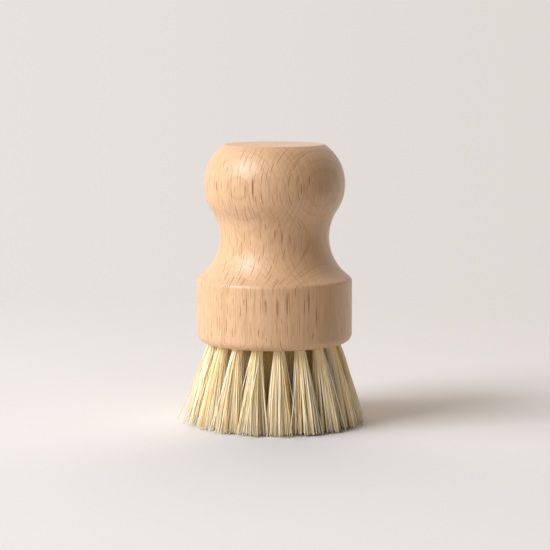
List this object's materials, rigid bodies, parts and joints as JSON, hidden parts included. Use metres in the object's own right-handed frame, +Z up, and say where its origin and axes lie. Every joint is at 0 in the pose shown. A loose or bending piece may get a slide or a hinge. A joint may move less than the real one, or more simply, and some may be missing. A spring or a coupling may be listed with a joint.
{
  "type": "vegetable brush",
  "caption": "Round palm-held vegetable brush: a turned beech handle with a flat-topped knob, waisted neck and straight block, and splayed tufts of plant fibre below.",
  "frame": {"origin": "on the brush's turning axis, in the plane that the trimmed bristle tips stand on", "axes": "+Z up the turning axis from the bristle tips to the flat crown; the picture looks along +Y with +X to the right"},
  "size_m": [0.0586, 0.0584, 0.097],
  "materials": {
    "beech": "satin",
    "fibre": "matte",
    "anchor_wire": "satin"
  },
  "bodies": {
    "root": {"handle": "beech", "centre_tuft": "fibre", "inner_tuft_01": "fibre", "inner_tuft_02": "fibre", "inner_tuft_03": "fibre", "inner_tuft_04": "fibre", "inner_tuft_05": "fibre", "inner_tuft_06": "fibre", "middle_tuft_01": "fibre", "middle_tuft_02": "fibre", "middle_tuft_03": "fibre", "middle_tuft_04": "fibre", "middle_tuft_05": "fibre", "middle_tuft_06": "fibre", "middle_tuft_07": "fibre", "middle_tuft_08": "fibre", "middle_tuft_09": "fibre", "middle_tuft_10": "fibre", "middle_tuft_11": "fibre", "middle_tuft_12": "fibre", "outer_tuft_01": "fibre", "outer_tuft_02": "fibre", "outer_tuft_03": "fibre", "outer_tuft_04": "fibre", "outer_tuft_05": "fibre", "outer_tuft_06": "fibre", "outer_tuft_07": "fibre", "outer_tuft_08": "fibre", "outer_tuft_09": "fibre", "outer_tuft_10": "fibre", "outer_tuft_11": "fibre", "outer_tuft_12": "fibre", "outer_tuft_13": "fibre", "outer_tuft_14": "fibre", "outer_tuft_15": "fibre", "outer_tuft_16": "fibre", "outer_tuft_17": "fibre", "outer_tuft_18": "fibre", "centre_anchor": "anchor_wire", "inner_anchors": "anchor_wire", "middle_anchors": "anchor_wire", "outer_anchors": "anchor_wire"}
  },
  "joints": []
}
